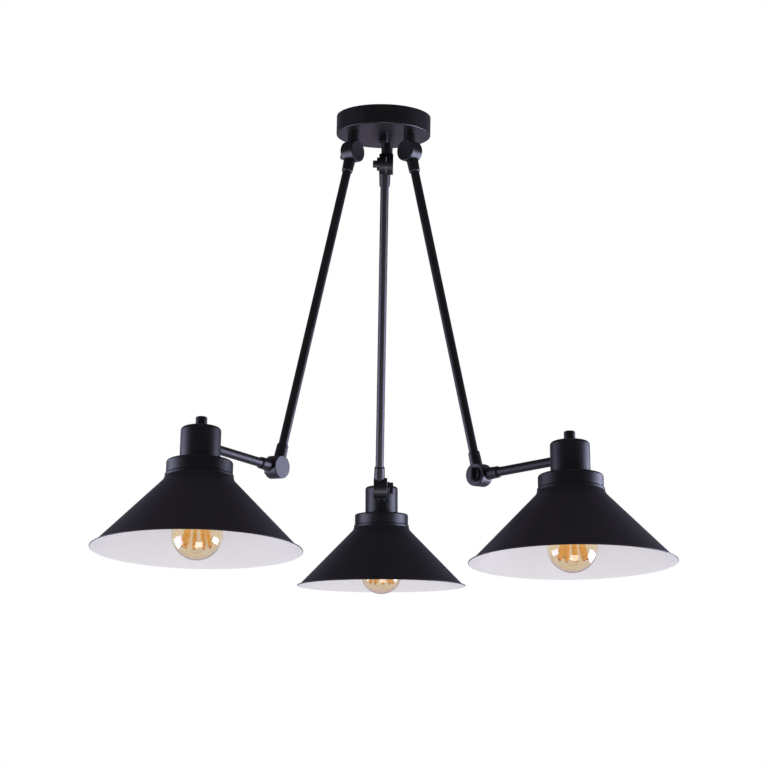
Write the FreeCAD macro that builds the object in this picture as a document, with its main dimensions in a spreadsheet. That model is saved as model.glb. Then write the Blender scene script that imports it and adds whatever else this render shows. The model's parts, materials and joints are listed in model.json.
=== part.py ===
"""Black three-arm ceiling light with folding arms and round spun shades.

The canopy hangs under the ceiling plane, which is z = 0. Three stems swivel in its
floor. Each stem carries an upper arm, a short arm and a lamp head, joined by two
half-lap hinges that thumb screws clamp, and the head turns on the end of its arm.
Every length is in millimetres and every angle in degrees.
"""
import FreeCAD, Part
import math
import os
import Sketcher

# Driving dimensions, one sheet cell each.
DIMENSIONS = {
    "canopy_radius": 59.3,
    "canopy_height": 24.0,
    "canopy_wall": 1.5,
    "canopy_edge_radius": 1.2,
    "stem_circle_radius": 41.0,
    "stem_radius": 7.3,
    "stem_lap_offset": 0.7,
    "stem_thread_radius": 5.0,
    "stem_thread_spare": 2.2,
    "stem_wire_bore_radius": 3.2,
    "stem_floor": 2.5,
    "hinge_drop": 25.8,
    "swivel_clearance": 0.08,
    "swivel_half_range": 35.0,
    "stop_key_width": 1.6,
    "stop_key_reach": 6.4,
    "stop_key_gap": 0.15,
    "stop_angle_spare": 1.5,
    "washer_radius": 9.0,
    "washer_thickness": 1.2,
    "stem_nut_flats": 16.0,
    "stem_nut_height": 6.0,
    "lug_radius": 13.5,
    "lug_thickness": 9.0,
    "lug_edge_radius": 0.9,
    "lap_gap": 0.2,
    "ferrule_gap": 0.4,
    "ferrule_radius": 7.2,
    "ferrule_tip_radius": 6.8,
    "ferrule_length": 15.1,
    "ferrule_straight": 1.4,
    "ferrule_nose": 1.3,
    "ferrule_lip": 0.3,
    "ferrule_lap_offset": 1.5,
    "socket_depth": 13.0,
    "socket_clearance": 0.05,
    "tube_radius": 5.4,
    "tube_wall": 1.0,
    "upper_arm_length": 426.5,
    "short_arm_length": 131.8,
    "clamp_screw_radius": 3.0,
    "clamp_screw_clearance": 0.05,
    "clamp_thread_depth": 7.0,
    "clamp_thread_spare": 0.8,
    "thumb_flange_radius": 8.5,
    "thumb_flange_thickness": 2.8,
    "thumb_flange_edge_radius": 0.45,
    "thumb_grip_width": 15.0,
    "thumb_grip_thickness": 5.0,
    "thumb_grip_length": 5.2,
    "thumb_edge_radius": 0.8,
    "seat_gap": 0.1,
    "spigot_radius": 4.0,
    "spigot_bore_radius": 2.8,
    "spigot_end_radius": 17.3,
    "tube_nut_flats": 11.0,
    "tube_nut_height": 2.6,
    "cup_radius": 22.6,
    "cup_wall": 1.2,
    "cup_rise": 18.9,
    "cup_drop": 19.7,
    "cup_edge_radius": 4.0,
    "cap_nut_radius": 6.5,
    "cap_nut_height": 12.2,
    "cap_nut_chamfer": 0.9,
    "cap_nut_thread_depth": 9.0,
    "nipple_radius": 4.5,
    "holder_radius": 16.6,
    "holder_skirt_radius": 19.0,
    "holder_skirt_drop": 8.0,
    "holder_mouth_drop": 29.0,
    "holder_bore_radius": 14.0,
    "holder_mouth_flare": 2.5,
    "holder_mouth_flare_depth": 8.0,
    "holder_mouth_edge_radius": 0.8,
    "collar_radius": 37.0,
    "collar_height": 14.4,
    "collar_wall": 1.2,
    "collar_edge_radius": 2.4,
    "shade_wall": 1.2,
    "shade_neck_gap": 0.25,
    "shade_seam_gap": 0.5,
    "shade_bead_radius": 38.2,
    "shade_bead_height": 3.4,
    "shade_turn_radius": 39.6,
    "shade_turn_depth": 42.2,
    "shade_turn_fillet": 9.0,
    "shade_rim_radius": 116.6,
    "shade_rim_depth": 118.2,
    "shade_lip_width": 4.4,
    "shade_lip_drop": 1.3,
    "shade_ring_radius": 26.0,
    "shade_ring_height": 4.0,
    "shade_ring_notch": 1.2,
    "shade_ring_notches": 12.0,
    "bulb_seat_rise": 8.3,
    "bulb_length": 138.5,
    "bulb_radius": 28.5,
    "bulb_glass_wall": 1.0,
    "bulb_neck_radius": 12.3,
    "bulb_cap_radius": 13.2,
    "bulb_cap_height": 26.5,
    "bulb_contact_radius": 4.6,
    "bulb_contact_height": 5.0,
    "bulb_stem_radius": 3.6,
    "bulb_stem_length": 50.8,
    "filament_radius": 0.8,
    "filament_circle_radius": 10.0,
    "filament_length": 39.0,
    "filament_plate_thickness": 1.0,
    "filament_count": 9.0,
    "bracket_width": 18.0,
    "bracket_thickness": 1.5,
    "bracket_edge_gap": 0.4,
    "ceiling_slot_spacing": 70.0,
    "ceiling_slot_radius": 2.25,
    "ceiling_slot_length": 12.0,
    "centre_screw_radius": 2.5,
    "centre_screw_head_radius": 6.5,
    "centre_screw_head_height": 8.0,
    "centre_screw_head_edge": 0.6,
    "screw_hole_clearance": 0.1,
    "terminal_length": 28.0,
    "terminal_width": 15.0,
    "terminal_height": 12.0,
    "terminal_pitch": 9.0,
    "terminal_place": 20.0,
    "terminal_well_radius": 2.2,
    "terminal_well_depth": 7.0,
    "terminal_wire_radius": 1.9,
    "earth_screw_place": 22.0,
    "earth_screw_radius": 2.0,
    "earth_head_radius": 3.8,
    "earth_head_height": 2.4,
    "left_swing": 30.3,
    "left_lift": 17.4,
    "left_elbow": 101.2,
    "left_roll": 5.2,
    "right_swing": -5.7,
    "right_lift": 15.8,
    "right_elbow": 100.1,
    "right_roll": -4.8,
    "back_swing": 6.7,
    "back_lift": 18.1,
    "back_elbow": 110.9,
    "back_roll": -0.9,
    "left_top_grip_turn": 10.0,
    "right_top_grip_turn": 10.0,
    "back_top_grip_turn": 55.0,
    "elbow_grip_turn": 0.0,
}

# Where each stem stands round the canopy, and on which side of each hinge the upper arm
# lies: +1 is anticlockwise of the arm, seen from above. The elbow's screw comes through
# the half above it, that of the upper arm, or else through that of the short arm.
ARMS = {
    "left": {"stem_angle": 210.0, "top_side": -1, "elbow_side": 1, "screw_above": False},
    "right": {"stem_angle": 330.0, "top_side": 1, "elbow_side": -1, "screw_above": True},
    "back": {"stem_angle": 90.0, "top_side": 1, "elbow_side": 1, "screw_above": False},
}

document = FreeCAD.newDocument("ceiling_light")
sheet = document.addObject("Spreadsheet::Sheet", "sizes")
sub_parts = []


class Size:
    """A length or angle: its number now, and the sheet formula that keeps it."""

    def __init__(self, number, formula):
        self.number = number
        self.formula = formula

    def __add__(self, other):
        other = as_size(other)
        return Size(self.number + other.number, f"({self.formula} + {other.formula})")

    def __sub__(self, other):
        other = as_size(other)
        return Size(self.number - other.number, f"({self.formula} - {other.formula})")

    def __mul__(self, other):
        other = as_size(other)
        return Size(self.number * other.number, f"({self.formula} * {other.formula})")

    def __truediv__(self, other):
        other = as_size(other)
        return Size(self.number / other.number, f"({self.formula} / {other.formula})")

    def __neg__(self):
        return Size(-self.number, f"(-1 * {self.formula})")

    def root(self):
        return Size(math.sqrt(self.number), f"sqrt({self.formula})")


def as_size(value):
    if isinstance(value, Size):
        return value
    return Size(float(value), f"({float(value)})")


ZERO = as_size(0)
# How closely an edge has to lie where a rounding looks for it.
EDGE_TOLERANCE = 0.02


def fill_sheet():
    """Write the dimensions into the sheet and return them as sizes by name."""
    named = {}
    for row, (name, number) in enumerate(DIMENSIONS.items(), start=1):
        sheet.set(f"A{row}", name)
        sheet.set(f"B{row}", str(number))
        sheet.setAlias(f"B{row}", name)
        named[name] = Size(number, f"sizes.{name}")
    document.recompute()
    return named


size = fill_sheet()


def bind(thing, path, value):
    value = as_size(value)
    thing.setExpression(path, value.formula)


def new_body(name):
    body = document.addObject("PartDesign::Body", name)
    body.Label = name
    sub_parts.append(body)
    return body


def origin_item(body, role):
    """One of the body's own origin planes or axes."""
    return next(item for item in body.Origin.OriginFeatures if item.Role == role)


def stand_on(body, item, role):
    """Attach a sketch or a solid to one of the body's origin planes."""
    item.AttachmentSupport = [(origin_item(body, role), "")]
    item.MapMode = "FlatFace"


def new_sketch(body, name, role, shift=None, height=None):
    """A sketch on one of the body's origin planes, moved along its x axis or off the plane."""
    sketch = body.newObject("Sketcher::SketchObject", f"{body.Name}_{name}")
    stand_on(body, sketch, role)
    for axis, value in (("x", shift), ("z", height)):
        if value is not None:
            bind(sketch, f"AttachmentOffset.Base.{axis}", value)
    return sketch


def hold(sketch, kind, geometry, point, value):
    """Hold one coordinate of a point, or a radius, at a size from the sheet."""
    value = as_size(value)
    if kind == "Radius":
        index = sketch.addConstraint(Sketcher.Constraint(kind, geometry, value.number))
    else:
        index = sketch.addConstraint(Sketcher.Constraint(kind, geometry, point, value.number))
    sketch.setExpression(f"Constraints[{index}]", value.formula)


def draw_outline(sketch, corners):
    """Closed outline of straight lines through corners given as pairs of sizes."""
    corners = [(as_size(x), as_size(y)) for x, y in corners]
    points = [FreeCAD.Vector(x.number, y.number, 0) for x, y in corners]
    first = sketch.GeometryCount
    count = len(points)
    for start, end in zip(points, points[1:] + points[:1]):
        sketch.addGeometry(Part.LineSegment(start, end), False)
    for line in range(count):
        following = first + (line + 1) % count
        sketch.addConstraint(Sketcher.Constraint("Coincident", first + line, 2, following, 1))
    for line, (x, y) in enumerate(corners):
        hold(sketch, "DistanceX", first + line, 1, x)
        hold(sketch, "DistanceY", first + line, 1, y)


def draw_rectangle(sketch, left, right, bottom, top):
    draw_outline(sketch, [(left, bottom), (right, bottom), (right, top), (left, top)])


def draw_circle(sketch, x, y, radius):
    x, y, radius = as_size(x), as_size(y), as_size(radius)
    centre = FreeCAD.Vector(x.number, y.number, 0)
    circle = sketch.addGeometry(Part.Circle(centre, FreeCAD.Vector(0, 0, 1), radius.number), False)
    hold(sketch, "Radius", circle, None, radius)
    hold(sketch, "DistanceX", circle, 3, x)
    hold(sketch, "DistanceY", circle, 3, y)


def draw_hexagon(sketch, flats):
    """Hexagon with two corners on the sketch's x axis and the given width over its flats."""
    corner = flats / math.sqrt(3)
    half = flats / 2
    draw_outline(sketch, [(corner, ZERO), (corner / 2, half), (-(corner / 2), half),
                          (-corner, ZERO), (-(corner / 2), -half), (corner / 2, -half)])


def turn(body, name, corners, kind="PartDesign::Revolution", shift=None):
    """Add (or, as a groove, remove) a ring whose outline is given as (radius, z) corners."""
    sketch = new_sketch(body, f"{name}_outline", "XZ_Plane", shift=shift)
    draw_outline(sketch, corners)
    feature = body.newObject(kind, f"{body.Name}_{name}")
    feature.Profile = sketch
    feature.ReferenceAxis = (sketch, ["V_Axis"])
    feature.Angle = 360.0
    document.recompute()
    return feature


def extrude(body, name, sketch, length, kind="PartDesign::Pad", reverse=False, both=False):
    feature = body.newObject(kind, f"{body.Name}_{name}")
    feature.Profile = sketch
    bind(feature, "Length", length)
    feature.Reversed = reverse
    feature.Midplane = both
    document.recompute()
    return feature


def repeat_round(body, feature, role, count):
    """Copy a feature evenly round one of the body's origin axes."""
    pattern = body.newObject("PartDesign::PolarPattern", f"{feature.Name}_round")
    pattern.Originals = [feature]
    pattern.Axis = (origin_item(body, role), [""])
    pattern.Angle = 360.0
    bind(pattern, "Occurrences", count)
    body.Tip = pattern
    document.recompute()
    return pattern


def round_edges(body, name, wanted, radius, kind="PartDesign::Fillet"):
    """Round (or chamfer) the edges of the body's tip that the test wants."""
    base = body.Tip
    picked = [f"Edge{number}" for number, edge in enumerate(base.Shape.Edges, start=1) if wanted(edge)]
    feature = body.newObject(kind, f"{body.Name}_{name}")
    feature.Base = (base, picked)
    bind(feature, "Radius" if kind == "PartDesign::Fillet" else "Size", radius)
    document.recompute()
    return feature


def ring_at(radius, level):
    """Test for a whole circle of one radius round the z axis at one level."""
    radius, level = as_size(radius), as_size(level)

    def wanted(edge):
        if not isinstance(edge.Curve, Part.Circle):
            return False
        centre = edge.Curve.Center
        misses = (math.hypot(centre.x, centre.y), edge.Curve.Radius - radius.number, centre.z - level.number)
        return all(abs(miss) < EDGE_TOLERANCE for miss in misses)

    return wanted


# Levels and reaches that several pieces share.
ferrule_start = size["lug_radius"] + size["ferrule_gap"]
ferrule_end = ferrule_start + size["ferrule_length"]
ferrule_offset = size["ferrule_lap_offset"]
stem_offset = size["stem_lap_offset"]
half_gap = size["lap_gap"] / 2
socket_floor = ferrule_end - size["socket_depth"]
socket_radius = size["tube_radius"] + size["socket_clearance"]
canopy_floor = size["hinge_drop"] + size["canopy_wall"]
washer_top = canopy_floor + size["washer_thickness"]
stem_nut_seat = washer_top + size["seat_gap"]
stem_top = stem_nut_seat + size["stem_nut_height"] + size["stem_thread_spare"]
flange_seat = size["lug_thickness"] + size["seat_gap"]
collar_top = size["cup_drop"] + size["seat_gap"]
collar_bottom = collar_top + size["collar_height"]
shade_top = collar_top + size["collar_wall"] + size["seat_gap"]
shade_neck_radius = size["collar_radius"] - size["collar_wall"] - size["shade_neck_gap"]
shade_step = collar_bottom + size["shade_seam_gap"]
ring_seat = shade_top + size["shade_wall"] + size["seat_gap"]
holder_top = size["cup_rise"] - size["cup_wall"] - size["seat_gap"]
bulb_contact = size["bulb_seat_rise"]
bulb_bottom = size["bulb_length"] - bulb_contact
holder_floor = bulb_contact + size["seat_gap"]
thread_hole_radius = size["clamp_screw_radius"] + size["clamp_screw_clearance"]
skirt_hole_radius = size["holder_skirt_radius"] + size["socket_clearance"]
swivel_hole_radius = size["stem_thread_radius"] + size["swivel_clearance"]
centre_hole_radius = size["centre_screw_radius"] + size["screw_hole_clearance"]


def make_canopy():
    """Spun steel dish, open at the ceiling: a hole in the middle, a key-slotted one for each stem."""
    body = new_body("canopy")
    radius, wall, height = size["canopy_radius"], size["canopy_wall"], size["canopy_height"]
    turn(body, "shell", [(ZERO, -height), (radius, -height), (radius, ZERO), (radius - wall, ZERO),
                         (radius - wall, wall - height), (ZERO, wall - height)])
    round_edges(body, "bottom_round", ring_at(radius, -height), size["canopy_edge_radius"])
    hole = new_sketch(body, "stem_hole", "XY_Plane", height=-height)
    draw_circle(hole, ZERO, size["stem_circle_radius"], swivel_hole_radius)
    pocket = extrude(body, "stem_bore", hole, wall * 2, "PartDesign::Pocket", both=True)
    repeat_round(body, pocket, "Z_Axis", len(ARMS))
    notch = body.newObject("PartDesign::SubtractiveCylinder", "canopy_stop_notch")
    bind(notch, "Radius", size["stop_key_reach"] + size["stop_key_gap"])
    bind(notch, "Height", wall * 2)
    key_half = size["stop_key_width"] / size["stem_thread_radius"] / 2 * (180 / math.pi)
    half_notch = size["swivel_half_range"] + key_half + size["stop_angle_spare"]
    bind(notch, "Angle", half_notch * 2)
    stand_on(body, notch, "XY_Plane")
    notch.AttachmentOffset = FreeCAD.Placement(FreeCAD.Vector(), FreeCAD.Rotation(FreeCAD.Vector(0, 0, 1), 1.0))
    bind(notch, "AttachmentOffset.Base.y", size["stem_circle_radius"])
    bind(notch, "AttachmentOffset.Base.z", -height - wall / 2)
    bind(notch, "AttachmentOffset.Rotation.Angle", as_size(90) - half_notch)
    document.recompute()
    repeat_round(body, notch, "Z_Axis", len(ARMS))
    centre = new_sketch(body, "centre_hole", "XY_Plane", height=-height)
    draw_circle(centre, ZERO, ZERO, centre_hole_radius)
    extrude(body, "centre_bore", centre, wall * 3, "PartDesign::Pocket", both=True)
    return body


def make_bracket():
    """Flat steel strap against the ceiling: two slots for its screws, a tapped hole in the middle."""
    body = new_body("mounting_bracket")
    inner = size["canopy_radius"] - size["canopy_wall"]
    half_width = size["bracket_width"] / 2
    reach = (inner * inner - half_width * half_width).root() - size["bracket_edge_gap"]
    thickness = size["bracket_thickness"]
    strap = new_sketch(body, "strap_outline", "XY_Plane")
    draw_rectangle(strap, -reach, reach, -half_width, half_width)
    extrude(body, "strap", strap, thickness, reverse=True)
    half_slot = size["ceiling_slot_length"] / 2 - size["ceiling_slot_radius"]
    through = thickness * 4
    for side, side_name in ((-1, "left"), (1, "right")):
        centre = size["ceiling_slot_spacing"] * side / 2
        slot = new_sketch(body, f"{side_name}_slot", "XY_Plane")
        draw_rectangle(slot, centre - half_slot, centre + half_slot,
                       -size["ceiling_slot_radius"], size["ceiling_slot_radius"])
        extrude(body, f"{side_name}_slot_cut", slot, through, "PartDesign::Pocket", both=True)
        for end, end_name in ((-1, "start"), (1, "end")):
            rounded = new_sketch(body, f"{side_name}_slot_{end_name}", "XY_Plane")
            draw_circle(rounded, centre + half_slot * end, ZERO, size["ceiling_slot_radius"])
            extrude(body, f"{side_name}_slot_{end_name}_cut", rounded, through,
                    "PartDesign::Pocket", both=True)
    middle = new_sketch(body, "centre_hole", "XY_Plane")
    draw_circle(middle, ZERO, ZERO, size["centre_screw_radius"] + size["socket_clearance"])
    extrude(body, "centre_bore", middle, through, "PartDesign::Pocket", both=True)
    earth = new_sketch(body, "earth_hole", "XY_Plane")
    earth_hole_radius = size["earth_screw_radius"] + size["screw_hole_clearance"]
    draw_circle(earth, -size["earth_screw_place"], ZERO, earth_hole_radius)
    extrude(body, "earth_bore", earth, through, "PartDesign::Pocket", both=True)
    return body


def make_centre_screw():
    """Long screw up through the canopy's middle into the strap, with a plain round head to grip."""
    body = new_body("centre_screw")
    seat = -size["canopy_height"] - size["seat_gap"]
    bottom = seat - size["centre_screw_head_height"]
    shank, head = size["centre_screw_radius"], size["centre_screw_head_radius"]
    turn(body, "screw", [(ZERO, bottom), (head, bottom), (head, seat), (shank, seat),
                         (shank, -size["seat_gap"]), (ZERO, -size["seat_gap"])])
    round_edges(body, "head_edge", ring_at(head, bottom), size["centre_screw_head_edge"])
    return body


def make_terminal_block():
    """Three-way moulded terminal block across the strap, with screw wells and wire ways."""
    body = new_body("terminal_block")
    half_length, half_width = size["terminal_length"] / 2, size["terminal_width"] / 2
    place = size["terminal_place"]
    top = -size["bracket_thickness"] - size["seat_gap"]
    block = new_sketch(body, "block_outline", "XY_Plane", height=top)
    draw_rectangle(block, place - half_width, place + half_width, -half_length, half_length)
    extrude(body, "block", block, size["terminal_height"], reverse=True)
    for way, pole in ((-1, "live"), (0, "earth"), (1, "neutral")):
        along = size["terminal_pitch"] * way
        well = new_sketch(body, f"{pole}_well", "XY_Plane", height=top - size["terminal_height"])
        draw_circle(well, place, along, size["terminal_well_radius"])
        extrude(body, f"{pole}_well_cut", well, size["terminal_well_depth"],
                "PartDesign::Pocket", reverse=True)
        wire = new_sketch(body, f"{pole}_wire_way", "YZ_Plane", height=place)
        draw_circle(wire, along, top - size["terminal_height"] / 2, size["terminal_wire_radius"])
        extrude(body, f"{pole}_wire_cut", wire, size["terminal_width"] * 2,
                "PartDesign::Pocket", both=True)
    return body


def make_earth_screw():
    """Pan-headed earth screw up into the strap."""
    body = new_body("earth_screw")
    seat = -size["bracket_thickness"] - size["seat_gap"]
    head_bottom = seat - size["earth_head_height"]
    turn(body, "screw", [(ZERO, head_bottom), (size["earth_head_radius"], head_bottom),
                         (size["earth_head_radius"], seat), (size["earth_screw_radius"], seat),
                         (size["earth_screw_radius"], -size["seat_gap"]), (ZERO, -size["seat_gap"])])
    head_edge = ring_at(size["earth_head_radius"], head_bottom)
    round_edges(body, "head_round", head_edge, size["earth_head_height"] / 2)
    body.Placement.Base = FreeCAD.Vector(-size["earth_screw_place"].number, 0, 0)
    return body


def make_swivel_washers():
    """Three fibre washers between the canopy's floor and the stem nuts."""
    body = new_body("swivel_washers")
    level = size["canopy_wall"] - size["canopy_height"]
    ring = new_sketch(body, "ring", "XY_Plane", height=level)
    draw_circle(ring, ZERO, size["stem_circle_radius"], size["washer_radius"])
    draw_circle(ring, ZERO, size["stem_circle_radius"], swivel_hole_radius)
    pad = extrude(body, "washer", ring, size["washer_thickness"])
    repeat_round(body, pad, "Z_Axis", len(ARMS))
    return body


def add_lug(body):
    """Half of a lap hinge: a round lug on the x side of the lap face, which is near x = 0.

    The hinge axis is the body's x axis, and what the lug carries runs along z.
    """
    disc = new_sketch(body, "disc", "YZ_Plane", height=half_gap)
    draw_circle(disc, ZERO, ZERO, size["lug_radius"])
    extrude(body, "lug", disc, size["lug_thickness"] - half_gap)

    def outer_edge(edge):
        face = size["lug_thickness"].number
        return isinstance(edge.Curve, Part.Circle) and abs(edge.Curve.Center.x - face) < EDGE_TOLERANCE

    round_edges(body, "lug_round", outer_edge, size["lug_edge_radius"])


def finish_lug(body, blind):
    """Hollow out the room in which the other lug turns, and bore the hole of the clamp screw."""
    room = new_sketch(body, "other_lug_room", "YZ_Plane", height=half_gap)
    draw_circle(room, ZERO, ZERO, ferrule_start)
    extrude(body, "other_lug_cut", room, size["lug_thickness"] * 2, "PartDesign::Pocket")
    bore = new_sketch(body, "screw_bore_outline", "YZ_Plane")
    draw_circle(bore, ZERO, ZERO, thread_hole_radius)
    depth = size["clamp_thread_depth"] if blind else size["lug_thickness"] * 2
    extrude(body, "screw_bore", bore, depth, "PartDesign::Pocket", reverse=True)


def make_knuckle(name, blind):
    """Cast hinge half with a ferrule that takes a tube's end."""
    body = new_body(name)
    add_lug(body)
    radius, nose = size["ferrule_radius"], size["ferrule_nose"]
    turn(body, "ferrule", [(ZERO, ZERO), (radius, ZERO), (radius, ferrule_start + size["ferrule_straight"]),
                           (size["ferrule_tip_radius"], ferrule_end - nose),
                           (socket_radius + size["ferrule_lip"], ferrule_end), (ZERO, ferrule_end)],
         shift=ferrule_offset)
    turn(body, "socket", [(ZERO, socket_floor), (socket_radius, socket_floor),
                          (socket_radius, ferrule_end + nose), (ZERO, ferrule_end + nose)],
         "PartDesign::Groove", shift=ferrule_offset)
    finish_lug(body, blind)
    return body


def make_stem(name, key_side):
    """Swivelling stem: threaded top through the canopy, stop key, and a hinge lug below."""
    body = new_body(name)
    add_lug(body)
    shoulder = size["hinge_drop"] - size["seat_gap"]
    turn(body, "shaft", [(ZERO, ZERO), (size["stem_radius"], ZERO), (size["stem_radius"], shoulder),
                         (size["stem_thread_radius"], shoulder), (size["stem_thread_radius"], stem_top),
                         (ZERO, stem_top)], shift=stem_offset)
    key = new_sketch(body, "stop_key_outline", "XY_Plane", shift=stem_offset, height=shoulder)
    half_key = size["stop_key_width"] / 2
    inner, outer = size["stem_thread_radius"] / 2 * key_side, size["stop_key_reach"] * key_side
    draw_outline(key, [(-half_key, inner), (half_key, inner), (half_key, outer), (-half_key, outer)])
    extrude(body, "stop_key", key, size["canopy_wall"] + size["seat_gap"])
    bore, bore_floor = size["stem_wire_bore_radius"], ferrule_start + size["stem_floor"]
    bore_end = stem_top + size["seat_gap"]
    turn(body, "wire_bore", [(ZERO, bore_floor), (bore, bore_floor), (bore, bore_end), (ZERO, bore_end)],
         "PartDesign::Groove", shift=stem_offset)
    finish_lug(body, True)
    return body


def make_nut(name, flats, height, bore_radius, level, shift=None):
    """Hexagon nut along z with its lower face at a level."""
    body = new_body(name)
    outline = new_sketch(body, "hexagon", "XY_Plane", shift=shift, height=level)
    draw_hexagon(outline, flats)
    draw_circle(outline, ZERO, ZERO, bore_radius)
    extrude(body, "nut", outline, height)
    return body


def make_thumb_screw(name):
    """Thumb screw along x: shank through the hinge, round flange, and a flat grip."""
    body = new_body(name)
    shank_length = flange_seat + size["clamp_thread_depth"] - size["clamp_thread_spare"]
    shank = new_sketch(body, "shank_outline", "YZ_Plane", height=flange_seat)
    draw_circle(shank, ZERO, ZERO, size["clamp_screw_radius"])
    extrude(body, "shank", shank, shank_length, reverse=True)
    flange = new_sketch(body, "flange_outline", "YZ_Plane", height=flange_seat)
    draw_circle(flange, ZERO, ZERO, size["thumb_flange_radius"])
    extrude(body, "flange", flange, size["thumb_flange_thickness"])
    flange_end = (flange_seat + size["thumb_flange_thickness"]).number
    grip_end = flange_end + size["thumb_grip_length"].number

    def flange_rim(edge):
        return isinstance(edge.Curve, Part.Circle) and abs(edge.Curve.Center.x - flange_end) < EDGE_TOLERANCE

    def exposed(edge):
        box = edge.BoundBox
        full_length = box.XLength > grip_end - flange_end - EDGE_TOLERANCE
        on_corner = box.XMin > flange_end - EDGE_TOLERANCE and full_length
        return box.XMin > grip_end - EDGE_TOLERANCE or on_corner

    round_edges(body, "flange_round", flange_rim, size["thumb_flange_edge_radius"])
    grip = new_sketch(body, "grip_outline", "YZ_Plane", height=flange_seat + size["thumb_flange_thickness"])
    half_thick, half_wide = size["thumb_grip_thickness"] / 2, size["thumb_grip_width"] / 2
    draw_rectangle(grip, -half_thick, half_thick, -half_wide, half_wide)
    extrude(body, "grip", grip, size["thumb_grip_length"])
    round_edges(body, "grip_round", exposed, size["thumb_edge_radius"])
    return body


def make_upper_tube(name):
    """Straight tube of the upper arm, between its two ferrules."""
    body = new_body(name)
    start = socket_floor + size["seat_gap"]
    ring = new_sketch(body, "section", "XY_Plane", height=start)
    draw_circle(ring, ZERO, ZERO, size["tube_radius"])
    draw_circle(ring, ZERO, ZERO, size["tube_radius"] - size["tube_wall"])
    extrude(body, "tube", ring, size["upper_arm_length"] - start * 2)
    return body


def make_short_tube(name):
    """Tube of the short arm, turned down at its end to a spigot that the cup turns on."""
    body = new_body(name)
    start = socket_floor + size["seat_gap"]
    shoulder = size["short_arm_length"] - size["cup_radius"] - size["seat_gap"]
    end = size["short_arm_length"] - size["spigot_end_radius"]
    turn(body, "tube", [(size["spigot_bore_radius"], start), (size["tube_radius"], start),
                        (size["tube_radius"], shoulder), (size["spigot_radius"], shoulder),
                        (size["spigot_radius"], end), (size["spigot_bore_radius"], end)])
    return body


def make_tube_nut(name):
    """Lock nut on the spigot, inside the cup's wall."""
    inner = size["cup_radius"] - size["cup_wall"]
    corner = size["tube_nut_flats"] / math.sqrt(3)
    seat = (inner * inner - corner * corner).root() - size["seat_gap"]
    level = size["short_arm_length"] - seat
    return make_nut(name, size["tube_nut_flats"], size["tube_nut_height"],
                    size["spigot_radius"] + size["socket_clearance"], level)


def make_cup(name):
    """Socket cup: a closed-topped sleeve with a side hole for the arm."""
    body = new_body(name)
    radius, wall, rise, drop = size["cup_radius"], size["cup_wall"], size["cup_rise"], size["cup_drop"]
    hole = size["nipple_radius"] + size["socket_clearance"]
    turn(body, "sleeve", [(hole, rise), (radius, rise), (radius, -drop), (radius - wall, -drop),
                          (radius - wall, rise - wall), (hole, rise - wall)])
    round_edges(body, "top_round", ring_at(radius, rise), size["cup_edge_radius"])
    round_edges(body, "inner_round", ring_at(radius - wall, rise - wall), size["cup_edge_radius"] - wall)
    side = new_sketch(body, "arm_hole", "YZ_Plane")
    draw_circle(side, ZERO, ZERO, size["spigot_radius"] + size["swivel_clearance"])
    extrude(body, "arm_bore", side, radius * 2, "PartDesign::Pocket", reverse=True)
    return body


def make_cap_nut(name):
    """Round cap nut on top of the cup, with a blind thread over the holder's nipple."""
    body = new_body(name)
    base = size["cup_rise"] + size["seat_gap"]
    top = base + size["cap_nut_height"]
    bore = size["nipple_radius"] + size["socket_clearance"]
    radius, floor = size["cap_nut_radius"], base + size["cap_nut_thread_depth"]
    turn(body, "nut", [(bore, base), (radius, base), (radius, top), (ZERO, top), (ZERO, floor),
                       (bore, floor)])
    round_edges(body, "top_chamfer", ring_at(radius, top), size["cap_nut_chamfer"], "PartDesign::Chamfer")
    return body


def make_lampholder(name):
    """Moulded screw lampholder: nipple above, threaded skirt and open mouth below."""
    body = new_body(name)
    nipple_top = size["cup_rise"] + size["cap_nut_thread_depth"] - size["seat_gap"]
    flare_top = size["holder_mouth_flare_depth"] - size["holder_mouth_drop"]
    radius, skirt, bore = size["holder_radius"], size["holder_skirt_radius"], size["holder_bore_radius"]
    skirt_top, mouth = -size["holder_skirt_drop"], -size["holder_mouth_drop"]
    turn(body, "moulding", [(ZERO, nipple_top), (size["nipple_radius"], nipple_top),
                            (size["nipple_radius"], holder_top), (radius, holder_top), (radius, skirt_top),
                            (skirt, skirt_top), (skirt, mouth), (bore + size["holder_mouth_flare"], mouth),
                            (bore, flare_top), (bore, holder_floor), (ZERO, holder_floor)])
    round_edges(body, "mouth_round", ring_at(skirt, mouth), size["holder_mouth_edge_radius"])
    return body


def make_collar(name):
    """Wide low cap under the cup, which hides the shade's neck."""
    body = new_body(name)
    radius, wall = size["collar_radius"], size["collar_wall"]
    turn(body, "cap", [(skirt_hole_radius, -collar_top), (radius, -collar_top), (radius, -collar_bottom),
                       (radius - wall, -collar_bottom), (radius - wall, -collar_top - wall),
                       (skirt_hole_radius, -collar_top - wall)])
    round_edges(body, "shoulder_round", ring_at(radius, -collar_top), size["collar_edge_radius"])
    inner_edge = ring_at(radius - wall, -collar_top - wall)
    round_edges(body, "inner_round", inner_edge, size["collar_edge_radius"] - wall)
    return body


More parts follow.
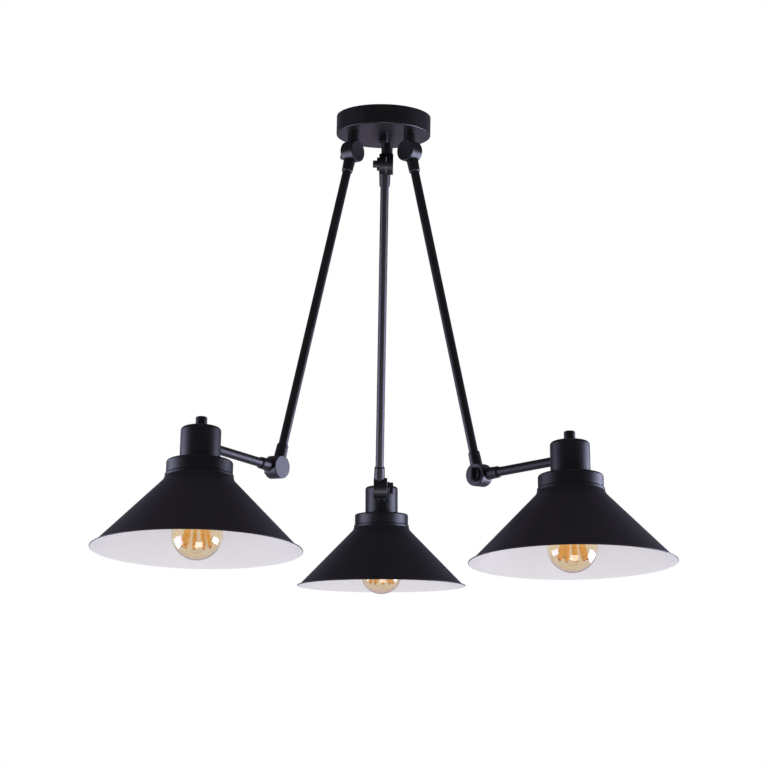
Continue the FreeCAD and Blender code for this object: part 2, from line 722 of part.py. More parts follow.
def make_shade(name):
    """Spun steel shade: flange, neck inside the collar, bead, wide cone and a flat lip."""
    body = new_body(name)
    wall = size["shade_wall"]
    rim, rim_depth = size["shade_rim_radius"], size["shade_rim_depth"]
    cone_end = rim - size["shade_lip_width"]
    cone_end_depth = rim_depth - size["shade_lip_drop"]
    turn_radius, turn_depth = size["shade_turn_radius"], size["shade_turn_depth"]
    spread = cone_end - turn_radius
    fall = cone_end_depth - turn_depth
    slope = (spread * spread + fall * fall).root()
    inward = wall * fall / slope
    downward = wall * spread / slope
    bead, bead_end = size["shade_bead_radius"], shade_step + size["shade_bead_height"]
    neck = shade_neck_radius
    corners = [(skirt_hole_radius, -shade_top), (neck, -shade_top), (neck, -shade_step),
               (bead, -shade_step), (bead, -bead_end), (turn_radius, -turn_depth), (cone_end, -cone_end_depth),
               (rim, -rim_depth), (rim, -rim_depth - wall), (cone_end - inward / 2, -cone_end_depth - wall),
               (turn_radius - inward, -turn_depth - downward / 2), (bead - wall, -bead_end),
               (bead - wall, -shade_step - wall), (neck - wall, -shade_step - wall),
               (neck - wall, -shade_top - wall), (skirt_hole_radius, -shade_top - wall)]
    turn(body, "spinning", corners)
    round_edges(body, "flange_round", ring_at(neck, -shade_top), size["collar_edge_radius"] - wall / 2)
    round_edges(body, "turn_round", ring_at(turn_radius, -turn_depth), size["shade_turn_fillet"])
    round_edges(body, "bead_round", ring_at(bead, -shade_step), wall)
    return body


def make_shade_ring(name):
    """Threaded ring that clamps the shade and the collar on the lampholder, notched for grip."""
    body = new_body(name)
    radius, height = size["shade_ring_radius"], size["shade_ring_height"]
    turn(body, "ring", [(skirt_hole_radius, -ring_seat), (radius, -ring_seat), (radius, -ring_seat - height),
                        (skirt_hole_radius, -ring_seat - height)])
    notch = new_sketch(body, "notch_outline", "XY_Plane", height=-ring_seat)
    draw_circle(notch, radius, ZERO, size["shade_ring_notch"])
    pocket = extrude(body, "notch", notch, height * 2, "PartDesign::Pocket")
    repeat_round(body, pocket, "Z_Axis", size["shade_ring_notches"])
    return body


def glass_outline(radius, neck_radius, centre, neck_top, neck_bottom):
    """Neck and tangent cone of a bulb, down to where the cone meets a ball of one radius.

    The tangent from the neck's corner to the ball: with p the corner seen from the ball's
    centre, r the ball's radius and t the tangent's length, the touching point is
    (r * r * p + r * t * p turned a quarter) / (p * p).
    """
    up = centre - neck_bottom
    reach = neck_radius * neck_radius + up * up
    tangent = (reach - radius * radius).root()
    touch_radius = (radius * radius * neck_radius + radius * tangent * up) / reach
    touch_up = (radius * radius * up - radius * tangent * neck_radius) / reach
    level = touch_up - centre
    return [(ZERO, -neck_top), (neck_radius, -neck_top), (neck_radius, -neck_bottom),
            (touch_radius, level), (ZERO, level)]


def make_bulb_glass(name):
    """Drop-shaped clear glass envelope: a hollow ball, a tangent cone and a neck."""
    body = new_body(name)
    radius, wall = size["bulb_radius"], size["bulb_glass_wall"]
    centre = bulb_bottom - radius
    cap_bottom = size["bulb_cap_height"] - bulb_contact
    neck_top = cap_bottom - size["bulb_contact_height"] * 2
    neck_bottom = cap_bottom + wall
    neck = size["bulb_neck_radius"]
    turn(body, "cone", glass_outline(radius, neck, centre, neck_top, neck_bottom))
    ball = body.newObject("PartDesign::AdditiveSphere", f"{name}_ball")
    bind(ball, "Radius", radius)
    bind(ball, "AttachmentOffset.Base.z", -centre)
    hollow = body.newObject("PartDesign::SubtractiveSphere", f"{name}_hollow")
    bind(hollow, "Radius", radius - wall)
    bind(hollow, "AttachmentOffset.Base.z", -centre)
    stand_on(body, ball, "XY_Plane")
    stand_on(body, hollow, "XY_Plane")
    document.recompute()
    turn(body, "bore", glass_outline(radius - wall, neck - wall, centre, neck_top - wall, neck_bottom),
         "PartDesign::Groove")
    return body


def make_bulb_base(name):
    """Bulb's screw cap with its contact, glass stem and a cage of straight filaments."""
    body = new_body(name)
    contact_end = bulb_contact - size["bulb_contact_height"]
    cap_end = bulb_contact - size["bulb_cap_height"]
    stem_end = cap_end - size["bulb_stem_length"]
    shell_bore = size["bulb_neck_radius"] + size["socket_clearance"]
    shell_floor = cap_end + size["bulb_contact_height"] * 2 + size["seat_gap"]
    plate_radius = size["filament_circle_radius"] + size["filament_radius"] * 2
    plate = size["filament_plate_thickness"]
    turn(body, "cap", [(ZERO, bulb_contact), (size["bulb_contact_radius"], bulb_contact),
                       (size["bulb_cap_radius"] - size["bulb_glass_wall"], contact_end),
                       (size["bulb_cap_radius"], contact_end - size["bulb_glass_wall"]),
                       (size["bulb_cap_radius"], cap_end), (shell_bore, cap_end), (shell_bore, shell_floor),
                       (size["bulb_stem_radius"], shell_floor), (size["bulb_stem_radius"], stem_end + plate),
                       (plate_radius, stem_end + plate), (plate_radius, stem_end), (ZERO, stem_end)])
    strand = new_sketch(body, "strand_outline", "XY_Plane", height=stem_end)
    draw_circle(strand, size["filament_circle_radius"], ZERO, size["filament_radius"])
    pad = extrude(body, "strand", strand, size["filament_length"] + plate, reverse=True)
    repeat_round(body, pad, "Z_Axis", size["filament_count"])
    plate_level = stem_end - size["filament_length"]
    plate_end = plate_level - plate
    turn(body, "end_plate", [(ZERO, plate_level), (plate_radius, plate_level), (plate_radius, plate_end),
                             (ZERO, plate_end)])
    return body


def frame_at(origin, x_axis, z_axis):
    """Placement whose x and z axes point the given ways."""
    y_axis = z_axis.cross(x_axis)
    return FreeCAD.Placement(origin, FreeCAD.Rotation(x_axis, y_axis, z_axis, "ZXY"))


def turned_about_x(placement, degrees):
    rotation = FreeCAD.Rotation(FreeCAD.Vector(1, 0, 0), degrees)
    return placement.multiply(FreeCAD.Placement(FreeCAD.Vector(), rotation))


def arm_frames(arm, layout):
    """Where each piece of one arm stands at rest, worked out from its four rest angles."""
    up = FreeCAD.Vector(0, 0, 1)
    stem_turn = math.radians(layout["stem_angle"])
    arm_turn = math.radians(layout["stem_angle"] + size[f"{arm}_swing"].number)
    lift = math.radians(size[f"{arm}_lift"].number)
    short_lift = lift + math.radians(90 - size[f"{arm}_elbow"].number)
    roll = math.radians(size[f"{arm}_roll"].number)
    outward = FreeCAD.Vector(math.cos(arm_turn), math.sin(arm_turn), 0)
    across = FreeCAD.Vector(-math.sin(arm_turn), math.cos(arm_turn), 0)
    top_side, elbow_side = layout["top_side"], layout["elbow_side"]
    stem_way = FreeCAD.Vector(math.cos(stem_turn), math.sin(stem_turn), 0)
    stem_axis = stem_way * size["stem_circle_radius"].number
    hinge_level = size["canopy_height"].number + size["hinge_drop"].number
    top_pivot = stem_axis + across * (top_side * stem_offset.number) - up * hinge_level
    along_upper = outward * math.sin(lift) - up * math.cos(lift)
    upper_axis = top_pivot + across * (top_side * ferrule_offset.number)
    elbow_axis = upper_axis + along_upper * size["upper_arm_length"].number
    elbow_pivot = elbow_axis - across * (elbow_side * ferrule_offset.number)
    along_short = outward * math.cos(short_lift) + up * math.sin(short_lift)
    short_axis = elbow_pivot - across * (elbow_side * ferrule_offset.number)
    head_centre = short_axis + along_short * size["short_arm_length"].number
    level_down = outward * math.sin(short_lift) - up * math.cos(short_lift)
    head_down = level_down * math.cos(roll) + across * math.sin(roll)
    top_screw = frame_at(top_pivot, across * top_side, up)
    screw_side = elbow_side if layout["screw_above"] else -elbow_side
    elbow_screw = frame_at(elbow_pivot, across * screw_side, up)
    return {
        "stem": frame_at(top_pivot, across * -top_side, up),
        "upper_knuckle": frame_at(top_pivot, across * top_side, along_upper),
        "top_screw": turned_about_x(top_screw, size[f"{arm}_top_grip_turn"].number),
        "upper_tube": frame_at(upper_axis, across, along_upper),
        "lower_knuckle": frame_at(elbow_pivot, across * elbow_side, along_upper * -1),
        "arm_knuckle": frame_at(elbow_pivot, across * -elbow_side, along_short),
        "elbow_screw": turned_about_x(elbow_screw, size["elbow_grip_turn"].number),
        "short_tube": frame_at(short_axis, across, along_short),
        "head": frame_at(head_centre, along_short * -1, head_down * -1),
    }


def make_arm(arm, layout):
    """All pieces of one arm, from its stem to its bulb, set at their rest places."""
    frames = arm_frames(arm, layout)
    nut_bore = size["stem_thread_radius"] + size["socket_clearance"]
    stem_nut = make_nut(f"{arm}_stem_nut", size["stem_nut_flats"], size["stem_nut_height"], nut_bore,
                        stem_nut_seat, stem_offset)
    pieces = [
        (make_stem(f"{arm}_stem", layout["top_side"]), "stem"),
        (stem_nut, "stem"),
        (make_thumb_screw(f"{arm}_top_thumb_screw"), "top_screw"),
        (make_knuckle(f"{arm}_upper_knuckle", False), "upper_knuckle"),
        (make_upper_tube(f"{arm}_upper_tube"), "upper_tube"),
        (make_knuckle(f"{arm}_lower_knuckle", not layout["screw_above"]), "lower_knuckle"),
        (make_thumb_screw(f"{arm}_elbow_thumb_screw"), "elbow_screw"),
        (make_knuckle(f"{arm}_arm_knuckle", layout["screw_above"]), "arm_knuckle"),
        (make_short_tube(f"{arm}_short_tube"), "short_tube"),
        (make_tube_nut(f"{arm}_tube_nut"), "short_tube"),
        (make_cup(f"{arm}_cup"), "head"),
        (make_cap_nut(f"{arm}_cap_nut"), "head"),
        (make_lampholder(f"{arm}_lampholder"), "head"),
        (make_collar(f"{arm}_collar"), "head"),
        (make_shade(f"{arm}_shade"), "head"),
        (make_shade_ring(f"{arm}_shade_ring"), "head"),
        (make_bulb_glass(f"{arm}_bulb_glass"), "head"),
        (make_bulb_base(f"{arm}_bulb_base"), "head"),
    ]
    for body, place in pieces:
        body.Placement = frames[place]


def check_and_export():
    """Stop on any failed object, then write one file for each sub-part."""
    document.recompute()
    failed = [item.Name for item in document.Objects if "Invalid" in item.State or "Error" in item.State]
    if failed:
        raise RuntimeError(f"failed objects: {failed}")
    for part in sub_parts:
        if part.Shape.isNull() or not part.Shape.isValid() or not part.Shape.Solids:
            raise RuntimeError(f"{part.Label} has no valid solid")
    os.makedirs("parts", exist_ok=True)
    for part in sub_parts:
        part.Shape.exportStep(os.path.join("parts", f"{part.Label}.step"))
        print(part.Label, "solids", len(part.Shape.Solids), "volume", round(part.Shape.Volume, 1))


make_canopy()
make_bracket()
make_centre_screw()
make_terminal_block()
make_earth_screw()
make_swivel_washers()
for arm_name, arm_layout in ARMS.items():
    make_arm(arm_name, arm_layout)
check_and_export()
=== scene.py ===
# Ceiling light with three folding arms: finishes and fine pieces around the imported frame, in metres.
import json
import math
import bmesh
import bpy
import numpy as np
from mathutils import Matrix, Vector


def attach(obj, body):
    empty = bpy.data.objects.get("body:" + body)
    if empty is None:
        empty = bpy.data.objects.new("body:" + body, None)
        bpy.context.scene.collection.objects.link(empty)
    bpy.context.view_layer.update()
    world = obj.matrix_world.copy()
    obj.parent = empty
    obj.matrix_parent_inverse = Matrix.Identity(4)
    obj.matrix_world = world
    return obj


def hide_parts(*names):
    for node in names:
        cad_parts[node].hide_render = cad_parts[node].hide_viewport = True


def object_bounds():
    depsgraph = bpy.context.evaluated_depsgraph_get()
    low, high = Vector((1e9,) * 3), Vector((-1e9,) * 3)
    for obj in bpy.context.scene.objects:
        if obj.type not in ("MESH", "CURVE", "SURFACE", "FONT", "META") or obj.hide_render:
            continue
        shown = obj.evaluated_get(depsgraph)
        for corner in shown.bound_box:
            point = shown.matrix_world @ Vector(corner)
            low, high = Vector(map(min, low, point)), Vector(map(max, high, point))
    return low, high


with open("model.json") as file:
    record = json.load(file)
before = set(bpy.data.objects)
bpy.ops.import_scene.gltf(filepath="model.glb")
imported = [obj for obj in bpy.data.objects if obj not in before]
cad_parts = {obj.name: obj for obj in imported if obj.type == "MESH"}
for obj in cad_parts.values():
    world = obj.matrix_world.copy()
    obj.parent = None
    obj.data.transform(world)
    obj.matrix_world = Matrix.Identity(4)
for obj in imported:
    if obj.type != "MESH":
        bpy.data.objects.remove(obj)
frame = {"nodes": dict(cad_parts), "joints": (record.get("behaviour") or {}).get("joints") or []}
cadLow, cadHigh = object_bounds()
arms = ("left", "right", "back")
millimetre = 0.001
print("frame loaded:", len(frame["nodes"]), "nodes")

# The camera stands below the lamps and looks slightly up, turned a touch to the left.
camera = {
    "place": (0.2739, -2.2218, -0.6524),
    "heading": 96.855,   # degrees from +X, seen from above
    "pitch": 7.94,
    "roll": 1.09,
    "lens": 85.5,
    "sensor": 36.0,
    "clip": (0.05, 60.0),
}


def makeCamera(values):
    heading, pitch, roll = (math.radians(values[key]) for key in ("heading", "pitch", "roll"))
    level = Vector((math.cos(heading), math.sin(heading), 0))
    forward = level * math.cos(pitch) + Vector((0, 0, math.sin(pitch)))
    right = Vector((math.sin(heading), -math.cos(heading), 0))
    up = right.cross(forward)
    tiltedRight = right * math.cos(roll) + up * math.sin(roll)
    tiltedUp = up * math.cos(roll) - right * math.sin(roll)
    lensData = bpy.data.cameras.new("photoCamera")
    lensData.lens = values["lens"]
    lensData.sensor_width = values["sensor"]
    lensData.clip_start, lensData.clip_end = values["clip"]
    holder = bpy.data.objects.new("photoCamera", lensData)
    holder.matrix_world = Matrix.Translation(values["place"]) @ Matrix(
        (tiltedRight, tiltedUp, -forward)).transposed().to_4x4()
    bpy.context.scene.collection.objects.link(holder)
    bpy.context.scene.camera = holder


makeCamera(camera)
print("camera set")


def toLinear(colour):
    # "#rrggbb" in sRGB to the linear values that the shaders take
    parts = [int(colour[i:i + 2], 16) / 255 for i in (1, 3, 5)]
    return tuple(p / 12.92 if p <= 0.04045 else ((p + 0.055) / 1.055) ** 2.4 for p in parts) + (1.0,)


def addNode(tree, kind, settings=None, links=None):
    # settings are properties or input sockets; links maps an input to (node, output)
    node = tree.nodes.new(kind)
    for key, value in (settings or {}).items():
        if isinstance(value, str) and value.startswith("#"):
            value = toLinear(value)
        if isinstance(key, int) or key in node.inputs:
            node.inputs[key].default_value = value
        else:
            setattr(node, key, value)
    for key, (source, output) in (links or {}).items():
        tree.links.new(source.outputs[output], node.inputs[key])
    return node


def newMaterial(name):
    material = bpy.data.materials.new(name)
    material.use_nodes = True
    material.node_tree.nodes.clear()
    return material, material.node_tree


def addRamp(tree, source, output, stops):
    # stops are (position, "#rrggbb" or a grey level)
    ramp = addNode(tree, "ShaderNodeValToRGB", {}, {"Fac": (source, output)})
    elements = ramp.color_ramp.elements
    while len(elements) < len(stops):
        elements.new(0.5)
    for element, (position, colour) in zip(elements, stops):
        element.position = position
        element.color = toLinear(colour) if isinstance(colour, str) else (colour, colour, colour, 1)
    return ramp


def addNoise(tree, place, size, detail):
    # size is that of the pattern in metres, on the object's own coordinates
    return addNode(tree, "ShaderNodeTexNoise", {"Scale": 1 / size, "Detail": detail},
                   {"Vector": place})


def addRoughness(tree, noise, limits):
    # the middle of a noise, where most of it lies, spread over the finish's roughness limits
    return addNode(tree, "ShaderNodeMapRange", {"From Min": 0.3, "From Max": 0.7,
                                                "To Min": limits[0], "To Max": limits[1]},
                   {"Value": (noise, "Fac")})


# Powder coat: baked polyester powder on steel. Satin black with a fine orange peel and a cool sheen.
powderCoat = {
    "colour": "#0e0c10", "colourWorn": "#131115", "roughness": (0.36, 0.43), "specular": 0.36,
    "peelSize": 1.1 * millimetre, "peelDepth": 0.004 * millimetre, "peelStrength": 0.35,
    "cloudSize": 30 * millimetre,
}


def makePowderCoat(name, values):
    material, tree = newMaterial(name)
    place = addNode(tree, "ShaderNodeTexCoord")
    # the orange peel is about 0.5 mm on the real coat and is drawn twice as coarse so that it shows
    peel = addNoise(tree, (place, "Object"), values["peelSize"], 2.0)
    cloud = addNoise(tree, (place, "Object"), values["cloudSize"], 4.0)
    rough = addRoughness(tree, cloud, values["roughness"])
    tone = addRamp(tree, cloud, "Fac", [(0.35, values["colour"]), (0.75, values["colourWorn"])])
    bump = addNode(tree, "ShaderNodeBump",
                   {"Strength": values["peelStrength"], "Distance": values["peelDepth"]},
                   {"Height": (peel, "Fac")})
    shader = addNode(tree, "ShaderNodeBsdfPrincipled", {"Specular IOR Level": values["specular"]},
                     {"Base Color": (tone, "Color"), "Roughness": (rough, "Result"),
                      "Normal": (bump, "Normal")})
    addNode(tree, "ShaderNodeOutputMaterial", {}, {"Surface": (shader, "BSDF")})
    return material


# Baked white enamel inside the shades: smooth, a little glossy, with faint rings left by spinning.
enamel = {
    "colour": "#f6f4f7", "roughness": 0.34, "specular": 0.4, "ringSpacing": 2.4 * millimetre,
    "ringDepth": 0.01 * millimetre, "ringStrength": 0.25,
}


def makeEnamel(name, values):
    material, tree = newMaterial(name)
    place = addNode(tree, "ShaderNodeUVMap", {"uv_map": "profile"})
    # the profile map runs along the wall in metres, so the rings follow the spinning tool's path;
    # a band texture repeats every 0.314 units at scale 1
    rings = addNode(tree, "ShaderNodeTexWave",
                    {"wave_type": "BANDS", "bands_direction": "Y",
                     "Scale": 0.314 / values["ringSpacing"], "Distortion": 1.5, "Detail": 2.0,
                     "Detail Scale": 0.6}, {"Vector": (place, "UV")})
    bump = addNode(tree, "ShaderNodeBump",
                   {"Strength": values["ringStrength"], "Distance": values["ringDepth"]},
                   {"Height": (rings, "Fac")})
    shader = addNode(tree, "ShaderNodeBsdfPrincipled",
                     {"Base Color": values["colour"], "Roughness": values["roughness"],
                      "Specular IOR Level": values["specular"]}, {"Normal": (bump, "Normal")})
    addNode(tree, "ShaderNodeOutputMaterial", {}, {"Surface": (shader, "BSDF")})
    return material


# Bare metals and mouldings: the noise is their grain or flow, drawn at a real size in millimetres.
plainFinishes = {
    "zincPlatedSteel": {
        "colour": "#b9bcc2", "shade": "#9ea1a8", "metallic": 1.0, "roughness": (0.28, 0.4),
        "grain": 1.6, "depth": 0.01, "stretch": (1, 1, 6)},
    "turnedBrass": {
        "colour": "#cda24e", "shade": "#b58a3c", "metallic": 1.0, "roughness": (0.22, 0.34),
        "grain": 0.8, "depth": 0.008, "stretch": (1, 1, 8)},
    "nickelPlatedCap": {
        "colour": "#d2c9b4", "shade": "#b9ae96", "metallic": 1.0, "roughness": (0.2, 0.3),
        "grain": 1.0, "depth": 0.006, "stretch": (1, 1, 5)},
    "blackPhenolicMoulding": {
        "colour": "#111113", "shade": "#19191c", "metallic": 0.0, "roughness": (0.24, 0.34),
        "grain": 2.2, "depth": 0.02, "stretch": (1, 1, 1)},
    "whitePolyamideMoulding": {
        "colour": "#dcdbd4", "shade": "#cfcdc5", "metallic": 0.0, "roughness": (0.42, 0.52),
        "grain": 1.8, "depth": 0.02, "stretch": (1, 1, 1)},
    "vulcanisedFibre": {
        "colour": "#7c3524", "shade": "#6a2b1d", "metallic": 0.0, "roughness": (0.6, 0.7),
        "grain": 0.6, "depth": 0.03, "stretch": (1, 1, 3)},
}
grainStrength = 0.3


def makePlainFinish(name, values):
    material, tree = newMaterial(name)
    place = addNode(tree, "ShaderNodeTexCoord")
    stretched = addNode(tree, "ShaderNodeMapping", {"Scale": values["stretch"]},
                        {"Vector": (place, "Object")})
    grain = addNoise(tree, (stretched, "Vector"), values["grain"] * millimetre, 3.0)
    rough = addRoughness(tree, grain, values["roughness"])
    tone = addRamp(tree, grain, "Fac", [(0.35, values["colour"]), (0.7, values["shade"])])
    bump = addNode(tree, "ShaderNodeBump",
                   {"Strength": grainStrength, "Distance": values["depth"] * millimetre},
                   {"Height": (grain, "Fac")})
    shader = addNode(tree, "ShaderNodeBsdfPrincipled", {"Metallic": values["metallic"]},
                     {"Base Color": (tone, "Color"), "Roughness": (rough, "Result"),
                      "Normal": (bump, "Normal")})
    addNode(tree, "ShaderNodeOutputMaterial", {}, {"Surface": (shader, "BSDF")})
    return material


# Glass: the bulb's is blown, with a thin fired lustre that mirrors more than plain glass and looks
# straw-coloured through both walls. The stem's is pressed and nearly clear. Tint streaks are 14 mm.
glassFinishes = {
    "amberBlownGlass": {"colour": "#fff5dc", "streak": "#fdf1d2", "roughness": 0.0, "ior": 1.75},
    "clearPressedGlass": {"colour": "#f5f0e4", "streak": "#efe9da", "roughness": 0.05, "ior": 1.5},
}
streakSize = 14 * millimetre


def makeGlass(name, values):
    material, tree = newMaterial(name)
    place = addNode(tree, "ShaderNodeTexCoord")
    streaks = addNoise(tree, (place, "Object"), streakSize, 1.0)
    tint = addRamp(tree, streaks, "Fac", [(0.35, values["colour"]), (0.65, values["streak"])])
    shader = addNode(tree, "ShaderNodeBsdfPrincipled",
                     {"Roughness": values["roughness"], "IOR": values["ior"],
                      "Transmission Weight": 1.0}, {"Base Color": (tint, "Color")})
    addNode(tree, "ShaderNodeOutputMaterial", {}, {"Surface": (shader, "BSDF")})
    return material


# Phosphor-coated filament strips, lit low: a gold glow with the coating's uneven grain.
filamentFinish = {
    "colour": "#dcb048", "dark": "#d89a24", "glow": "#c4921c", "strength": 0.6, "roughness": 0.5,
    "grain": 5.0 * millimetre,
}


def makeFilamentFinish(name, values):
    material, tree = newMaterial(name)
    place = addNode(tree, "ShaderNodeTexCoord")
    grain = addNoise(tree, (place, "Object"), values["grain"], 2.0)
    tone = addRamp(tree, grain, "Fac", [(0.3, values["colour"]), (0.7, values["dark"])])
    shader = addNode(tree, "ShaderNodeBsdfPrincipled",
                     {"Roughness": values["roughness"], "Emission Color": values["glow"],
                      "Emission Strength": values["strength"]}, {"Base Color": (tone, "Color")})
    addNode(tree, "ShaderNodeOutputMaterial", {}, {"Surface": (shader, "BSDF")})
    return material


finishes = {name: makePlainFinish(name, values) for name, values in plainFinishes.items()}
finishes.update({name: makeGlass(name, values) for name, values in glassFinishes.items()})
finishes["phosphorFilament"] = makeFilamentFinish("phosphorFilament", filamentFinish)
finishes["blackPowderCoatedSteel"] = makePowderCoat("blackPowderCoatedSteel", powderCoat)
finishes["whiteBakedEnamel"] = makeEnamel("whiteBakedEnamel", enamel)
print("finishes made:", len(finishes))

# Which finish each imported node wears, by the end of its name. The rest are powder coated.
nodeFinishes = {
    "mounting_bracket": "zincPlatedSteel", "stem_nut": "zincPlatedSteel",
    "tube_nut": "zincPlatedSteel", "terminal_block": "whitePolyamideMoulding",
    "earth_screw": "turnedBrass", "swivel_washers": "vulcanisedFibre",
    "lampholder": "blackPhenolicMoulding", "shade_ring": "blackPhenolicMoulding",
    "bulb_base": "nickelPlatedCap", "bulb_glass": "amberBlownGlass",
}


def dressNodes():
    for name, node in frame["nodes"].items():
        short = name.split("_", 1)[1] if name.split("_")[0] in arms else name
        finish = finishes[nodeFinishes.get(short, "blackPowderCoatedSteel")]
        node.data.materials.clear()
        node.data.materials.append(finish)


dressNodes()
print("packed nodes dressed")


def headPlace(arm, roll):
    # the head's frame from its turning joint: x back along the short arm, z up the lamp's axis
    joint = next(item for item in frame["joints"] if item["name"] == f"{arm}_head_turn")
    along = Vector(joint["axis"]).normalized()
    outward = Vector((along.x, along.y, 0)).normalized()
    across = Vector((-outward.y, outward.x, 0))
    levelDown = outward * along.z - Vector((0, 0, 1)) * along.dot(outward)
    down = levelDown * math.cos(math.radians(roll)) + across * math.sin(math.radians(roll))
    up = -down
    columns = Matrix((-along, up.cross(-along), up)).transposed().to_4x4()
    return Matrix.Translation(joint["pos_m"]) @ columns


headRoll = {"left": 5.2, "right": -4.8, "back": -0.9}   # degrees, at rest
headPlaces = {arm: headPlace(arm, roll) for arm, roll in headRoll.items()}


def roundedProfile(corners, steps=10):
    # a run of straight lines through (radius, depth, rounding) corners in millimetres: each rounding
    # is an arc that touches both lines, sampled evenly in angle
    points = np.array([corner[:2] for corner in corners], float)
    radii = [corner[2] if len(corner) > 2 else 0 for corner in corners]
    profile = [points[:1]]
    for before, corner, after, radius in zip(points, points[1:], points[2:], radii[1:]):
        if not radius:
            profile.append(corner[None])
            continue
        back = (before - corner) / np.linalg.norm(before - corner)
        ahead = (after - corner) / np.linalg.norm(after - corner)
        half = math.acos(np.clip(back @ ahead, -1, 1)) / 2
        reach = radius / math.tan(half)
        middle = (back + ahead) / np.linalg.norm(back + ahead)
        centre = corner + middle * radius / math.sin(half)
        start = corner + back * reach - centre
        side = corner + ahead * reach - centre
        sweep = math.pi - 2 * half
        angles = np.linspace(0, 1, steps)[:, None]
        arc = np.sin((1 - angles) * sweep) * start + np.sin(angles * sweep) * side
        profile.append(centre + arc / math.sin(sweep))
    profile.append(points[-1:])
    return np.vstack(profile)


mergeDistance = 1e-7   # metres
creaseAngle = math.radians(32)


def turnedPiece(name, profile, place, body, finish, closed=True, slices=160, wobble=None):
    # point = (r cos a, r sin a, -depth) for each profile point (r, depth) and angle a;
    # wobble may add to r
    radius, depth = profile.T * millimetre
    angle = np.linspace(0, 2 * math.pi, slices + 1)
    r = np.repeat(radius[None], slices + 1, 0)
    if wobble is not None:
        r = r + wobble(angle[:, None], depth[None]) * millimetre
    down = np.repeat(-depth[None], slices + 1, 0)
    points = np.stack([r * np.cos(angle)[:, None], r * np.sin(angle)[:, None], down], -1)
    count = len(radius)
    ring = np.arange(count if closed else count - 1)
    a = (np.arange(slices)[:, None] * count + ring[None]).ravel()
    b = (np.arange(slices)[:, None] * count + (ring[None] + 1) % count).ravel()
    faces = np.stack([a, b, b + count, a + count], -1)
    run = np.concatenate([[0], np.cumsum(np.hypot(np.diff(radius), np.diff(depth)))])
    turned = np.arange(slices + 1)[:, None] / slices
    around = np.repeat(turned * 2 * math.pi * radius.max(), count, 1)
    uv = np.stack([around, np.repeat(run[None], slices + 1, 0)], -1).reshape(-1, 2)
    mesh = bpy.data.meshes.new(name)
    flat = points.reshape(-1, 3)
    world = np.array(place)
    flat = flat @ world[:3, :3].T + world[:3, 3]
    mesh.from_pydata(flat, [], faces.tolist())
    layer = mesh.uv_layers.new(name="profile")
    loops = np.zeros(len(mesh.loops), np.int32)
    mesh.loops.foreach_get("vertex_index", loops)
    layer.data.foreach_set("uv", uv[loops].astype(np.float32).ravel())
    work = bmesh.new()
    work.from_mesh(mesh)
    bmesh.ops.remove_doubles(work, verts=work.verts, dist=mergeDistance)
    bmesh.ops.dissolve_degenerate(work, edges=work.edges, dist=mergeDistance / 10)
    bmesh.ops.recalc_face_normals(work, faces=work.faces)
    work.to_mesh(mesh)
    work.free()
    mesh.polygons.foreach_set("use_smooth", np.ones(len(mesh.polygons), bool))
    mesh.materials.append(finishes[finish])
    piece = bpy.data.objects.new(name, mesh)
    bpy.context.scene.collection.objects.link(piece)
    split = piece.modifiers.new("edges", "EDGE_SPLIT")
    split.split_angle = creaseAngle
    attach(piece, body)
    return piece


# Shade: spun steel. The outside is black to the lip's lower edge, and the inside is lined with
# white enamel. Millimetres: pairs are (radius, depth), and roundings go from the hole to the rim.
shade = {
    "hole": 19.05, "top": 21.1, "neck": 35.55, "step": 34.7, "bead": 38.2, "beadEnd": 38.3,
    "turn": (39.6, 42.2), "coneEnd": (112.2, 116.9), "rim": (116.6, 118.2), "wall": 1.2,
    "innerBeadEnd": 38.1, "innerTurn": (38.74, 42.62), "innerConeEnd": (111.77, 118.1),
    "roundings": (2.4, 0.25, 1.1, 3.0, 9.0, 2.5), "innerRoundings": (1.2, 0.3, 0.4, 3.0, 8.0, 2.5),
}


def shadeLine(values, inward, beadEnd, turn, coneEnd, roundings):
    # from the hole to the rim, moved inward by the wall for the inner line
    top, step = values["top"] + inward, values["step"] + inward
    neck, bead = values["neck"] - inward, values["bead"] - inward
    corners = [(neck, top), (neck, step), (bead, step), (bead, beadEnd), turn, coneEnd]
    rounded = [corner + (rounding,) for corner, rounding in zip(corners, roundings)]
    rimRadius, rimDepth = values["rim"]
    return roundedProfile([(values["hole"], top)] + rounded + [(rimRadius, rimDepth + inward)])


def shadeLines(values):
    outer = shadeLine(values, 0, values["beadEnd"], values["turn"], values["coneEnd"],
                      values["roundings"])
    inner = shadeLine(values, values["wall"], values["innerBeadEnd"], values["innerTurn"],
                      values["innerConeEnd"], values["innerRoundings"])
    return outer, inner


def makeShade(arm):
    outer, inner = shadeLines(shade)
    middle = (outer + inner) / 2
    lip = shade["wall"] / 2
    turns = np.linspace(-math.pi / 2, math.pi / 2, 9)
    rimRadius, rimDepth = shade["rim"]
    edge = np.stack([rimRadius - lip + lip * np.cos(turns),
                     rimDepth + lip + lip * np.sin(turns)], -1)
    outer = np.vstack([outer[:-1], edge])
    inner = np.vstack([inner[:-1], edge[:-2:-1]])
    shell = np.vstack([outer, middle[:-1][::-1]])
    lining = np.vstack([middle[:-1], inner[::-1]])
    place, body = headPlaces[arm], f"{arm}_head"
    black = turnedPiece(f"{arm}_shade_shell", shell, place, body, "blackPowderCoatedSteel")
    turnedPiece(f"{arm}_shade_lining", lining, place, body, "whiteBakedEnamel")
    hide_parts(f"{arm}_shade")


for arm in arms:
    makeShade(arm)
print("shades made")

